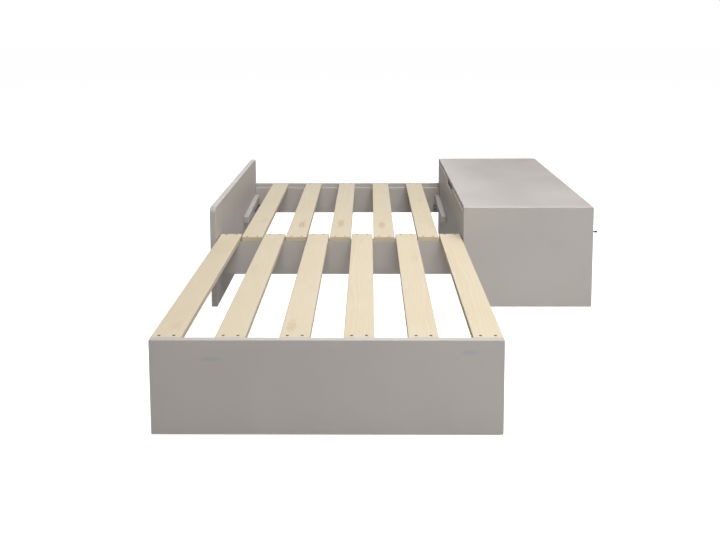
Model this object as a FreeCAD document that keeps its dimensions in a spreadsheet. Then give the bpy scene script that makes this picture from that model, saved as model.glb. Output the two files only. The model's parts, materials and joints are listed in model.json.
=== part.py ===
"""Pull-out slatted bed with a storage chest beside it, as a parametric document.

A fixed half (end board, chest, rails and five slats) holds a sliding half (front board,
six slats and a rear beam) whose slats run between the fixed ones like two combs.

Frame: +X to the right, +Y to the rear, +Z up, in millimetres.  The origin lies on the floor
under the middle of the whole bed, with the sliding half pulled fully out.
"""
import FreeCAD, Part
import os
import re

import Sketcher
from FreeCAD import Placement, Rotation, Vector

os.makedirs("parts", exist_ok=True)
doc = FreeCAD.newDocument("pull_out_bed")

# ---------------------------------------------------------------------------------------
# Driving dimensions: alias, value, meaning
# ---------------------------------------------------------------------------------------
SIZES = (
    ("unit_depth", 1095, "fixed half, front to rear"),
    ("travel", 965, "how far the sliding half pulls out"),
    ("unit_height", 375, "end board and chest"),
    ("bay_width", 908, "clear width between end board and chest"),
    ("end_thick", 22, "end board"),
    ("end_corner", 21, "large radius on the end board's top corners"),
    ("board_round", 2.5, "softened edges of the lacquered boards"),
    ("timber_round", 2, "softened edges of the slats and rails"),
    ("deck_height", 253, "top of the fixed slats"),
    ("slat_width", 78, "every slat"),
    ("slat_thick", 18, "every slat"),
    ("slat_count", 6, "slats of the sliding half, one more than the fixed half"),
    ("slide_lift", 0.8, "sliding slats above the mid rail"),
    ("side_gap", 4, "front board to the end board and to the chest"),
    ("front_thick", 19, "front board"),
    ("floor_gap", 3, "front board above the floor"),
    ("cleat_thick", 25, "cleat behind the front board"),
    ("cleat_tall", 40, "cleat behind the front board"),
    ("rail_setback", 46.5, "mid rail behind the fixed half's front"),
    ("rail_thick", 20, "mid rail"),
    ("rail_foot", 110, "underside of mid rail, ledge and back board"),
    ("beam_gap", 2, "rear beam behind the mid rail when pulled out"),
    ("beam_thick", 20, "rear beam of the sliding half"),
    ("beam_tall", 30, "rear beam of the sliding half"),
    ("back_thick", 18, "back board"),
    ("ledge_thick", 20, "ledge in front of the back board"),
    ("batten_width", 22, "support battens"),
    ("batten_tall", 30, "support battens"),
    ("batten_long", 372, "support battens"),
    ("batten_rise", 23, "how much higher the battens' rear ends are"),
    ("batten_rear_gap", 14, "battens to the ledge"),
    ("batten_gap", 1, "battens' rear ends under the rear beam"),
    ("comb_gap", 0.5, "rear beam under the fixed slats"),
    ("chest_width", 475, "chest, left to right"),
    ("chest_thick", 20, "chest's front and rear boards"),
    ("side_thick", 18, "chest's side board, rails and divider"),
    ("lid_thick", 18, "lid"),
    ("lid_gap", 1.5, "under and round the lid"),
    ("lid_setback", 3, "lid's left edge from the side board's outer face"),
    ("notch_long", 240, "finger notch at its mouth"),
    ("notch_foot", 200, "finger notch at its foot"),
    ("notch_deep", 23, "finger notch"),
    ("notch_round", 9, "finger notch's lower corners"),
    ("floor_thick", 12, "chest's floor"),
    ("plinth_tall", 52, "plinth rail, flush with the chest's floor"),
    ("top_rail_tall", 26, "rail under the lid's hinges"),
    ("door_thick", 18, "doors"),
    ("door_gap", 2.8, "round the doors and at every hinge"),
    ("leaf_thick", 1.2, "hinge leaves"),
    ("leaf_width", 14, "hinge leaves"),
    ("hinge_long", 60, "hinges"),
    ("knuckle_radius", 3.5, "hinge barrels"),
    ("knuckle_offset", 4, "hinge axes outside the chest's right face"),
    ("knuckle_gap", 0.3, "between knuckles, and leaf to barrel"),
    ("pin_radius", 1.5, "hinge pins"),
    ("pin_clearance", 0.08, "hinge pins in their knuckles"),
    ("pin_head", 2.6, "radius of the pins' heads"),
    ("lid_hinge_inset", 150, "end of an outer lid hinge from the lid's end"),
    ("door_hinge_inset", 40, "door hinge from the door's end"),
    ("knob_reach", 32, "knobs outside the chest's right face"),
    ("knob_base", 6, "radius of the knobs' foot"),
    ("knob_stem", 2.5, "radius of the knobs' stem"),
    ("knob_tip", 3.6, "radius of the knobs' end"),
    ("knob_inset", 67, "knobs from the chest's front and rear"),
    ("knob_height", 267, "knobs above the floor"),
    ("magnet_size", 14, "magnet catch, width and thickness"),
    ("magnet_tall", 46, "magnet catch"),
    ("strike_thick", 1.2, "strike plate on a door"),
    ("strike_gap", 0.4, "strike plate to magnet"),
    ("wheel_radius", 20, "castor wheels"),
    ("wheel_width", 14, "castor wheels"),
    ("wheel_dish", 1.5, "sunk faces of the castor wheels"),
    ("wheel_inset", 90, "castor wheels from the front board's ends"),
    ("wheel_setback", 30, "castor axles behind the front board"),
    ("axle_radius", 3, "castor axles"),
    ("axle_clearance", 0.1, "castor axles in fork and wheel"),
    ("axle_head", 4.5, "radius of the axles' heads"),
    ("axle_head_thick", 1.5, "the axles' heads"),
    ("fork_wall", 3, "castor forks"),
    ("fork_gap", 1, "fork to wheel on each side"),
    ("fork_foot", 10, "lowest edge of a fork"),
    ("fork_top", 56, "top edge of a fork"),
    ("fork_eye", 9, "fork's edge beyond the axle"),
    ("flange_width", 52, "fork's screw flange"),
    ("flange_foot", 26, "lowest edge of the screw flange"),
    ("pad_long", 40, "glide pads on the mid rail"),
    ("pad_wide", 12, "glide pads on the mid rail"),
    ("pad_thick", 3, "glide pads on the mid rail"),
    ("pad_clearance", 0.1, "glide pads under the slats and in their pockets"),
    ("bracket_leg", 30, "angle brackets"),
    ("bracket_thick", 2.5, "angle brackets"),
    ("bracket_tall", 36, "angle brackets"),
    ("bracket_foot", 118, "angle brackets above the floor"),
    ("bracket_reach", 20, "bracket screws from the bracket's corner"),
    ("bracket_spread", 9, "bracket screws from the bracket's middle"),
    ("head_radius", 4, "countersunk screw heads"),
    ("shank_radius", 2, "screws"),
    ("hole_clearance", 0.3, "screw holes and countersinks"),
    ("slat_screw_long", 38, "screws through the slats and the cleat"),
    ("short_screw_long", 34, "screws through the ledge and the battens"),
    ("pan_radius", 3.6, "bracket screws' heads"),
    ("pan_deep", 2, "bracket screws' heads"),
    ("pan_screw_long", 16, "bracket screws"),
    ("recess_width", 1, "cross recess in the screw heads"),
    ("recess_span", 4.4, "cross recess in the screw heads"),
    ("recess_deep", 1.4, "cross recess in the screw heads"),
    ("screw_spread", 19, "slat screws from the slat's middle"),
    ("dowel_radius", 4, "dowels in the chest"),
    ("dowel_long", 30, "dowels in the chest"),
    ("dowel_inset", 10, "how deep a dowel sits in a front or rear board"),
)

# Places and sizes that follow from the driving dimensions
DERIVED = {
    "whole_width": "end_thick + bay_width + chest_width + knob_reach",
    "end_left": "-whole_width / 2",
    "bay_left": "end_left + end_thick",
    "bay_right": "bay_left + bay_width",
    "chest_right": "bay_right + chest_width",
    "rear_plane": "(unit_depth + travel) / 2",
    "front_plane": "rear_plane - unit_depth",
    "middle_plane": "rear_plane - unit_depth / 2",
    "panel_face": "front_plane - travel",
    "panel_back": "panel_face + front_thick",
    "panel_left": "bay_left + side_gap",
    "panel_width": "bay_width - 2 * side_gap",
    "pitch": "(panel_width - slat_width) / (slat_count - 1)",
    "rail_top": "deck_height - slat_thick",
    "slide_level": "rail_top + slide_lift",
    "slide_top": "slide_level + slat_thick",
    "rail_face": "front_plane + rail_setback",
    "rail_back": "rail_face + rail_thick",
    "beam_face": "rail_back + beam_gap",
    "beam_back": "beam_face + beam_thick",
    "beam_foot": "slide_level - beam_tall",
    "back_face": "rear_plane - back_thick",
    "ledge_face": "back_face - ledge_thick",
    "batten_foot": "beam_foot - batten_gap - batten_tall - batten_rise",
    "batten_front": "ledge_face - batten_rear_gap - batten_long",
    "sliding_long": "beam_back - panel_back",
    "fixed_long": "back_face - rail_face",
    "chest_front": "front_plane + chest_thick",
    "chest_rear": "rear_plane - chest_thick",
    "chest_depth": "chest_rear - chest_front",
    "lid_under": "unit_height - lid_thick",
    "side_top": "lid_under - lid_gap",
    "top_rail_top": "lid_under - door_gap",
    "top_rail_foot": "top_rail_top - top_rail_tall",
    "inner_left": "bay_right + side_thick",
    "inner_right": "chest_right - side_thick",
    "door_foot": "plinth_tall + door_gap",
    "door_tall": "top_rail_foot - plinth_tall - 2 * door_gap",
    "door_wide": "(chest_depth - side_thick) / 2 - 2 * door_gap",
    "hinge_line": "chest_right + knuckle_offset",
    "lid_hinge_level": "lid_under - door_gap / 2",
    "front_hinge_line": "middle_plane - side_thick / 2 - door_gap / 2",
    "rear_hinge_line": "middle_plane + side_thick / 2 + door_gap / 2",
    "head_deep": "head_radius - shank_radius",
    "segment": "hinge_long / 3",
    "leaf_edge": "knuckle_radius + knuckle_gap",
    "fork_width": "wheel_width + 2 * fork_gap + 2 * fork_wall",
    "left_wheel": "panel_left + wheel_inset",
    "right_wheel": "panel_left + panel_width - wheel_inset",
    "axle_line": "panel_back + wheel_setback",
}


def spell(formula):
    """Write a formula in the document's language, with every name led back to the sheet."""
    def word(match):
        name = match.group()
        if name in DERIVED:
            return "(" + spell(DERIVED[name]) + ")"
        return "size." + name
    return re.sub(r"[a-z][a-z_]+", word, formula)


def value(formula):
    """A formula's number at the present sizes."""
    return float(sheet.evalExpression(spell(formula)))


def bind(item, **sizes):
    """Tie properties of an object to formulas."""
    for name, formula in sizes.items():
        item.setExpression(name, spell(formula))


def place(item, x, y, z):
    """Tie an object's place to three formulas."""
    item.setExpression("Placement.Base.x", spell(x))
    item.setExpression("Placement.Base.y", spell(y))
    item.setExpression("Placement.Base.z", spell(z))


# ---------------------------------------------------------------------------------------
# The sheet
# ---------------------------------------------------------------------------------------
sheet = doc.addObject("Spreadsheet::Sheet", "size")
for row, (alias, number, meaning) in enumerate(SIZES, start=1):
    sheet.set(f"A{row}", meaning)
    sheet.set(f"B{row}", str(number))
    sheet.setAlias(f"B{row}", alias)
doc.recompute()

pieces = []


# ---------------------------------------------------------------------------------------
# Tools for sketches and bodies
# ---------------------------------------------------------------------------------------
def new_body(label):
    """A body that is one piece of the bed."""
    body = doc.addObject("PartDesign::Body", label)
    pieces.append(body)
    return body


def new_sketch(body, name, role, level="0"):
    """A sketch on one of the body's own origin planes, moved along its normal by level."""
    plane = next(item for item in body.Origin.OriginFeatures if item.Role == role)
    sketch = body.newObject("Sketcher::SketchObject", f"{body.Name}_{name}")
    sketch.AttachmentSupport = [(plane, "")]
    sketch.MapMode = "FlatFace"
    sketch.setExpression("AttachmentOffset.Base.z", spell(level))
    return sketch


def fix_point(sketch, element, corner, x, y):
    """Hold one point of a sketch element at a place given by two formulas."""
    for kind, formula in (("DistanceX", x), ("DistanceY", y)):
        rule = Sketcher.Constraint(kind, -1, 1, element, corner, value(formula))
        index = sketch.addConstraint(rule)
        if value(formula):
            sketch.setExpression(f"Constraints[{index}]", spell(formula))


def add_outline(sketch, points):
    """A closed outline of straight lines through points, each point tied to the sheet."""
    corners = [Vector(value(x), value(y), 0) for x, y in points]
    lines = [sketch.addGeometry(Part.LineSegment(start, end), False)
             for start, end in zip(corners, corners[1:] + corners[:1])]
    for line, following in zip(lines, lines[1:] + lines[:1]):
        sketch.addConstraint(Sketcher.Constraint("Coincident", line, 2, following, 1))
    for line, (x, y) in zip(lines, points):
        fix_point(sketch, line, 1, x, y)


def add_rectangle(sketch, x, y, width, height):
    """A rectangle from its lower left corner."""
    right = f"{x} + {width}"
    top = f"{y} + {height}"
    add_outline(sketch, ((x, y), (right, y), (right, top), (x, top)))


def add_circle(sketch, x, y, radius):
    """A circle tied to the sheet."""
    centre = Vector(value(x), value(y), 0)
    circle = sketch.addGeometry(Part.Circle(centre, Vector(0, 0, 1), value(radius)), False)
    fix_point(sketch, circle, 3, x, y)
    index = sketch.addConstraint(Sketcher.Constraint("Radius", circle, value(radius)))
    sketch.setExpression(f"Constraints[{index}]", spell(radius))


def pad(body, sketch, length, reverse=False):
    """Material as thick as length, along the sketch's normal or against it."""
    feature = body.newObject("PartDesign::Pad", sketch.Name + "_pad")
    feature.Profile = sketch
    feature.Reversed = reverse
    bind(feature, Length=length)
    return feature


def pocket(body, sketch, length, reverse=False):
    """A cut as deep as length, which must take material away."""
    doc.recompute()
    before = body.Shape.Volume
    feature = body.newObject("PartDesign::Pocket", sketch.Name + "_pocket")
    feature.Profile = sketch
    feature.Reversed = reverse
    bind(feature, Length=length)
    doc.recompute()
    if body.Shape.Volume >= before:
        raise ValueError(f"{feature.Name} cuts nothing")
    return feature


def round_edges(body, radius, chosen=None):
    """Round all the edges, or those that the test chosen picks."""
    doc.recompute()
    base = body.Tip
    picked = [f"Edge{number}" for number, edge in enumerate(base.Shape.Edges, start=1)
              if chosen is None or chosen(edge)]
    feature = body.newObject("PartDesign::Fillet", f"{base.Name}_round")
    feature.Base = (base, picked)
    bind(feature, Radius=radius)
    return feature


def board(label, corner, extent, radius="board_round"):
    """A rectangular board from its lowest corner, with softened edges."""
    body = new_body(label)
    sketch = new_sketch(body, "outline", "XY_Plane")
    add_rectangle(sketch, "0", "0", extent[0], extent[1])
    pad(body, sketch, extent[2])
    round_edges(body, radius)
    place(body, *corner)
    return body


def drill(body, level, places):
    """Countersunk screw holes down through a piece, from its top at level."""
    sketch = new_sketch(body, "holes", "XY_Plane", level)
    for x, y in places:
        add_circle(sketch, x, y, "shank_radius")
    doc.recompute()
    hole = body.newObject("PartDesign::Hole", f"{body.Name}_drill")
    hole.Profile = sketch
    hole.DepthType = "ThroughAll"
    hole.HoleCutType = "Countersink"
    hole.HoleCutCountersinkAngle = 90
    bind(hole, Diameter="2 * (shank_radius + hole_clearance)",
         HoleCutDiameter="2 * (head_radius + hole_clearance)")


# ---------------------------------------------------------------------------------------
# Tools for small hardware: a pattern piece, and groups of copies of it
# ---------------------------------------------------------------------------------------
def solid(kind, name, at=("0", "0", "0"), **sizes):
    """A primitive tied to the sheet."""
    item = doc.addObject(f"Part::{kind}", name)
    bind(item, **sizes)
    place(item, *at)
    return item


def join(name, items):
    """Several solids as one."""
    item = doc.addObject("Part::MultiFuse", name)
    item.Shapes = items
    item.Refine = True
    return item


def cut(name, base, tool):
    """One solid less another."""
    item = doc.addObject("Part::Cut", name)
    item.Base = base
    item.Tool = tool
    item.Refine = True
    return item


def spot(x, y, z, rotation=Rotation()):
    """A placement from three formulas and a turn."""
    return Placement(Vector(value(x), value(y), value(z)), rotation)


def group(label, pattern, spots):
    """One node that holds a copy of the pattern piece at every spot."""
    doc.recompute()
    item = doc.addObject("Part::Feature", label)
    copies = [pattern.Shape.transformed(where.toMatrix(), True) for where in spots]
    item.Shape = Part.makeCompound(copies)
    item.Placement = Placement()
    pieces.append(item)
    return item


def cross_recess(name, level):
    """Two crossed bars, the cutter for a screw's recess below level."""
    half_span = "-recess_span / 2"
    half_width = "-recess_width / 2"
    foot = f"{level} - recess_deep"
    along = solid("Box", name + "_along", (half_span, half_width, foot),
                  Length="recess_span", Width="recess_width", Height="2 * recess_deep")
    across = solid("Box", name + "_across", (half_width, half_span, foot),
                   Length="recess_width", Width="recess_span", Height="2 * recess_deep")
    return join(name, [along, across])


def countersunk_screw(name, length):
    """A screw that points down, its flat head's top at the origin."""
    head = solid("Cone", name + "_head", ("0", "0", "-head_deep"),
                 Radius1="shank_radius", Radius2="head_radius", Height="head_deep")
    shank_long = f"{length} - 2 * head_deep"
    shank = solid("Cylinder", name + "_shank", ("0", "0", f"-head_deep - ({shank_long})"),
                  Radius="shank_radius", Height=shank_long)
    tip = solid("Cone", name + "_tip", ("0", "0", f"-({length})"),
                Radius1="shank_radius / 5", Radius2="shank_radius", Height="head_deep")
    whole = join(name + "_whole", [head, shank, tip])
    return cut(name, whole, cross_recess(name + "_recess", "0"))


def pan_screw(name, length):
    """A screw that points down, the underside of its round head at the origin."""
    head = solid("Cylinder", name + "_head", Radius="pan_radius", Height="pan_deep")
    shank = solid("Cylinder", name + "_shank", ("0", "0", f"-({length})"),
                  Radius="shank_radius", Height=length)
    whole = join(name + "_whole", [head, shank])
    return cut(name, whole, cross_recess(name + "_recess", "pan_deep"))


# Turns that point a screw's shank along an axis; unturned it points down
SHANK_LEFT = Rotation(Vector(0, 1, 0), 90)
SHANK_RIGHT = Rotation(Vector(0, 1, 0), -90)
SHANK_FRONT = Rotation(Vector(1, 0, 0), -90)
SHANK_REAR = Rotation(Vector(1, 0, 0), 90)

slat_screw = countersunk_screw("slat_screw", "slat_screw_long")
short_screw = countersunk_screw("short_screw", "short_screw_long")
bracket_screw = pan_screw("bracket_screw", "pan_screw_long")


def parallel(axis):
    """A test that picks straight edges along an axis."""
    def test(edge):
        start, end = edge.Vertexes[0].Point, edge.Vertexes[-1].Point
        return edge.Curve.TypeId == "Part::GeomLine" and abs((end - start).dot(axis)) > 0.9 * edge.Length
    return test


# ---------------------------------------------------------------------------------------
# Fixed half: end board, mid rail, back board, ledge and battens
# ---------------------------------------------------------------------------------------
end_panel = new_body("end_panel")
end_outline = new_sketch(end_panel, "outline", "YZ_Plane")
add_rectangle(end_outline, "0", "0", "unit_depth", "unit_height")
pad(end_panel, end_outline, "end_thick")
along_x = parallel(Vector(1, 0, 0))
top_level = value("unit_height")
round_edges(end_panel, "end_corner",
            lambda edge: along_x(edge) and abs(edge.CenterOfMass.z - top_level) < 0.01)
round_edges(end_panel, "board_round")
place(end_panel, "end_left", "front_plane", "0")


def sliding_left(index):
    """Left edge of a sliding slat, counted from 0."""
    return f"panel_left + {index} * pitch"


def fixed_left(index):
    """Left edge of a fixed slat, midway between two sliding ones."""
    return f"panel_left + ({index} + 0.5) * pitch"


sliding_numbers = range(int(value("slat_count")))
fixed_numbers = range(int(value("slat_count")) - 1)

mid_rail = board("mid_rail", ("bay_left", "rail_face", "rail_foot"),
                 ("bay_width", "rail_thick", "rail_top - rail_foot"), "timber_round")
pad_pockets = new_sketch(mid_rail, "pad_pockets", "XY_Plane", "rail_top - rail_foot")
for slat in sliding_numbers:
    pad_left = f"{sliding_left(slat)} + slat_width / 2 - pad_long / 2 - bay_left - pad_clearance"
    add_rectangle(pad_pockets, pad_left, "rail_thick / 2 - pad_wide / 2 - pad_clearance",
                  "pad_long + 2 * pad_clearance", "pad_wide + 2 * pad_clearance")
pocket(mid_rail, pad_pockets, "pad_thick - slide_lift + pad_clearance")

glide_pad = solid("Box", "glide_pad", Length="pad_long", Width="pad_wide", Height="pad_thick")
group("glide_pads", glide_pad,
      [spot(f"{sliding_left(slat)} + slat_width / 2 - pad_long / 2",
            "rail_face + rail_thick / 2 - pad_wide / 2",
            "slide_level - pad_clearance - pad_thick") for slat in sliding_numbers])

board("back_panel", ("bay_left", "back_face", "rail_foot"),
      ("bay_width", "back_thick", "deck_height - rail_foot"))
board("slat_ledge", ("bay_left", "ledge_face", "rail_foot"),
      ("bay_width", "ledge_thick", "rail_top - rail_foot"), "timber_round")

# The battens rise to the rear, so the closing rear beam rides up on them
for label, batten_left in (("support_batten_left", "bay_left"),
                           ("support_batten_right", "bay_right - batten_width")):
    batten = new_body(label)
    batten_outline = new_sketch(batten, "outline", "YZ_Plane")
    add_outline(batten_outline, (
        ("0", "0"), ("batten_long", "batten_rise"),
        ("batten_long", "batten_rise + batten_tall"), ("0", "batten_tall")))
    pad(batten, batten_outline, "batten_width")
    round_edges(batten, "timber_round")
    place(batten, batten_left, "batten_front", "batten_foot")


def slat(label, left, front, level, long, front_screws, rear_screws):
    """A slat with two countersunk holes near each end."""
    body = board(label, (left, front, level), ("slat_width", long, "slat_thick"), "timber_round")
    drill(body, "slat_thick",
          [(f"slat_width / 2 + {side} * screw_spread", along)
           for side in (-1, 1) for along in (front_screws, f"{long} - {rear_screws}")])


def slat_screws(label, lefts, front_line, rear_line, level):
    """The four screws of every slat, flush with the slat's top."""
    group(label, slat_screw,
          [spot(f"{left} + slat_width / 2 + {side} * screw_spread", line, level)
           for left in lefts for side in (-1, 1) for line in (front_line, rear_line)])


for number in fixed_numbers:
    slat(f"fixed_slat_{number + 1}", fixed_left(number), "rail_face", "rail_top",
         "fixed_long", "rail_thick / 2", "ledge_thick / 2")
slat_screws("fixed_slat_screws", [fixed_left(number) for number in fixed_numbers],
            "rail_face + rail_thick / 2", "ledge_face + ledge_thick / 2", "deck_height")

# Angle brackets hold the mid rail and the ledge to the end board and the chest
legs = [solid("Box", "bracket_leg_x", Length="bracket_leg", Width="bracket_thick",
              Height="bracket_tall"),
        solid("Box", "bracket_leg_y", Length="bracket_thick", Width="bracket_leg",
              Height="bracket_tall")]
bracket_holes = []
bracket_screw_spots = []
for side in (-1, 1):
    height = f"bracket_tall / 2 + {side} * bracket_spread"
    in_leg_x = spot("bracket_reach", "bracket_thick", height, SHANK_FRONT)
    in_leg_y = spot("bracket_thick", "bracket_reach", height, SHANK_LEFT)
    bracket_screw_spots.extend((in_leg_x, in_leg_y))
    hole_x = solid("Cylinder", f"bracket_hole_x{side + 1}", ("bracket_reach", "0", height),
                   Radius="shank_radius + hole_clearance", Height="4 * bracket_thick")
    hole_x.Placement.Rotation = SHANK_REAR
    hole_y = solid("Cylinder", f"bracket_hole_y{side + 1}", ("-bracket_thick", "bracket_reach", height),
                   Radius="shank_radius + hole_clearance", Height="4 * bracket_thick")
    hole_y.Placement.Rotation = SHANK_LEFT
    bracket_holes.extend((hole_x, hole_y))
angle_bracket = cut("angle_bracket", join("bracket_legs", legs), join("bracket_holes", bracket_holes))
bracket_spots = [spot("bay_left", "rail_back", "bracket_foot"),
                 spot("bay_right", "rail_back", "bracket_foot", Rotation(90, 0, 0)),
                 spot("bay_left", "ledge_face", "bracket_foot", Rotation(-90, 0, 0)),
                 spot("bay_right", "ledge_face", "bracket_foot", Rotation(180, 0, 0))]
group("rail_brackets", angle_bracket, bracket_spots)
group("bracket_screws", bracket_screw,
      [corner.multiply(screw) for corner in bracket_spots for screw in bracket_screw_spots])

batten_screw_points = [(f"batten_front + batten_long * {share}",
                        f"batten_foot + batten_tall / 2 + batten_rise * {share}")
                       for share in ("0.1", "0.5", "0.9")]
group("batten_screws", short_screw,
      [spot("bay_left + batten_width", y, z, SHANK_LEFT) for y, z in batten_screw_points]
      + [spot("bay_right - batten_width", y, z, SHANK_RIGHT) for y, z in batten_screw_points])

SCREW_SHARES = ("0.06", "0.28", "0.5", "0.72", "0.94")
group("ledge_screws", short_screw,
      [spot(f"bay_left + bay_width * {share}", "ledge_face", "(rail_top + rail_foot) / 2", SHANK_REAR)
       for share in SCREW_SHARES])

# ---------------------------------------------------------------------------------------
# Fixed half: the chest
# ---------------------------------------------------------------------------------------
for label, face in (("chest_front_panel", "front_plane"), ("chest_rear_panel", "chest_rear")):
    board(label, ("bay_right", face, "0"), ("chest_width", "chest_thick", "unit_height"))

# The side board towards the bed stops under the lid and has a finger notch in its top edge
side_panel = new_body("chest_side_panel")
side_outline = new_sketch(side_panel, "outline", "YZ_Plane")
middle = "chest_depth / 2"
notch_level = "side_top - notch_deep"
add_outline(side_outline, (
    ("0", "0"), ("chest_depth", "0"), ("chest_depth", "side_top"),
    (f"{middle} + notch_long / 2", "side_top"), (f"{middle} + notch_foot / 2", notch_level),
    (f"{middle} - notch_foot / 2", notch_level), (f"{middle} - notch_long / 2", "side_top"),
    ("0", "side_top")))
pad(side_panel, side_outline, "side_thick")
notch_floor = value(notch_level)
round_edges(side_panel, "notch_round",
            lambda edge: along_x(edge) and abs(edge.CenterOfMass.z - notch_floor) < 0.01)
round_edges(side_panel, "board_round / 2")
place(side_panel, "bay_right", "chest_front", "0")

board("chest_floor", ("inner_left", "chest_front", "plinth_tall - floor_thick"),
      ("inner_right - inner_left", "chest_depth", "floor_thick"), "timber_round")
board("plinth_rail", ("inner_right", "chest_front", "0"),
      ("side_thick", "chest_depth", "plinth_tall"))
board("top_rail", ("inner_right", "chest_front", "top_rail_foot"),
      ("side_thick", "chest_depth", "top_rail_tall"))

# The divider reaches the right face between the doors, and is notched for the top rail
divider = new_body("chest_divider")
divider_outline = new_sketch(divider, "outline", "XZ_Plane")
add_outline(divider_outline, (
    ("0", "0"), ("chest_right - inner_left", "0"),
    ("chest_right - inner_left", "top_rail_foot - plinth_tall"),
    ("inner_right - inner_left", "top_rail_foot - plinth_tall"),
    ("inner_right - inner_left", "side_top - plinth_tall"), ("0", "side_top - plinth_tall")))
pad(divider, divider_outline, "side_thick", reverse=True)
round_edges(divider, "timber_round / 2")
place(divider, "inner_left", "middle_plane - side_thick / 2", "plinth_tall")

dowel = solid("Cylinder", "dowel", Radius="dowel_radius", Height="dowel_long")
dowel_points = [("bay_right + side_thick / 2", "unit_height / 5"),
                ("bay_right + side_thick / 2", "unit_height * 4 / 5"),
                ("chest_right - side_thick / 2", "plinth_tall / 2"),
                ("chest_right - side_thick / 2", "top_rail_foot + top_rail_tall / 2")]
group("chest_dowels", dowel,
      [spot(x, "chest_front - dowel_inset", z, SHANK_FRONT) for x, z in dowel_points]
      + [spot(x, "chest_rear + dowel_inset", z, SHANK_REAR) for x, z in dowel_points])

# ---------------------------------------------------------------------------------------
# Hinges: a leaf with two outer knuckles, a leaf with the middle knuckle, and a pin.
# The axis is local Z, the boards lie towards local -X, and the fixed leaf is on the +Y side
# ---------------------------------------------------------------------------------------
def hinge_leaf(name, near, spans):
    """A leaf whose plate starts at near across the axis, with knuckles at the spans."""
    parts = [solid("Box", name + "_plate", ("-knuckle_offset - leaf_width", near, "0"),
                   Length="knuckle_offset + leaf_width - leaf_edge", Width="leaf_thick",
                   Height="hinge_long")]
    for order, (start, long) in enumerate(spans):
        parts.append(solid("Box", f"{name}_lug{order}", ("-2 * leaf_edge", near, start),
                           Length="2 * leaf_edge", Width="leaf_thick", Height=long))
        parts.append(solid("Cylinder", f"{name}_knuckle{order}", ("0", "0", start),
                           Radius="knuckle_radius", Height=long))
    bore = solid("Cylinder", name + "_bore", Radius="pin_radius + pin_clearance", Height="hinge_long")
    return cut(name, join(name + "_solid", parts), bore)


fixed_leaf = hinge_leaf("fixed_leaf", "door_gap / 2 - leaf_thick",
                        (("0", "segment - knuckle_gap / 2"),
                         ("2 * segment + knuckle_gap / 2", "segment - knuckle_gap / 2")))
moving_leaf = hinge_leaf("moving_leaf", "-door_gap / 2",
                         (("segment + knuckle_gap / 2", "segment - knuckle_gap"),))
pin_stem = solid("Cylinder", "pin_stem", ("0", "0", "-knuckle_gap"),
                 Radius="pin_radius", Height="hinge_long + 2 * knuckle_gap")
pin_heads = [solid("Cylinder", f"pin_head{order}", ("0", "0", level),
                   Radius="pin_head", Height="leaf_thick")
             for order, level in enumerate(("-knuckle_gap - leaf_thick", "hinge_long + knuckle_gap"))]
hinge_pin = join("hinge_pin", [pin_stem] + pin_heads)

LID_TURN = Rotation(Vector(1, 0, 0), -90)
REAR_TURN = Rotation(Vector(1, 0, 0), 180)
lid_hinges = [spot("hinge_line", start, "lid_hinge_level", LID_TURN)
              for start in ("chest_front + lid_hinge_inset", "middle_plane - hinge_long / 2",
                            "chest_rear - lid_hinge_inset - hinge_long")]
door_levels = ("door_foot + door_hinge_inset", "door_foot + door_tall - door_hinge_inset - hinge_long")
door_hinges = {
    "front": [spot("hinge_line", "front_hinge_line", level) for level in door_levels],
    "rear": [spot("hinge_line", "rear_hinge_line", f"{level} + hinge_long", REAR_TURN)
             for level in door_levels],
}
group("lid_hinge_fixed_leaves", fixed_leaf, lid_hinges)
group("door_hinge_fixed_leaves", fixed_leaf, door_hinges["front"] + door_hinges["rear"])

# ---------------------------------------------------------------------------------------
# The lid and the doors
# ---------------------------------------------------------------------------------------
board("lid", ("bay_right + lid_setback", "chest_front + lid_gap", "lid_under"),
      ("chest_width - lid_setback", "chest_depth - 2 * lid_gap", "lid_thick"))
group("lid_hinge_leaves", moving_leaf, lid_hinges)
group("lid_hinge_pins", hinge_pin, lid_hinges)

bumper = solid("Cylinder", "bumper", Radius="3 * lid_gap", Height="lid_gap - pad_clearance")
group("lid_bumpers", bumper,
      [spot("bay_right + side_thick / 2", line, "side_top")
       for line in ("chest_front + lid_hinge_inset", "chest_rear - lid_hinge_inset")])

door_starts = {
    "front": "chest_front + door_gap",
    "rear": "middle_plane + side_thick / 2 + door_gap",
}
knob_lines = {"front": "front_plane + knob_inset", "rear": "rear_plane - knob_inset"}
magnet_starts = {"front": "chest_front", "rear": "chest_rear - magnet_size"}
magnet_foot = "door_foot + door_tall / 2 - magnet_tall / 2"
door_back = "chest_right - door_thick"

magnet = solid("Box", "magnet", Length="magnet_size", Width="magnet_size", Height="magnet_tall")
group("door_magnets", magnet,
      [spot(f"{door_back} - strike_thick - strike_gap - magnet_size", start, magnet_foot)
       for start in magnet_starts.values()])

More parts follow.
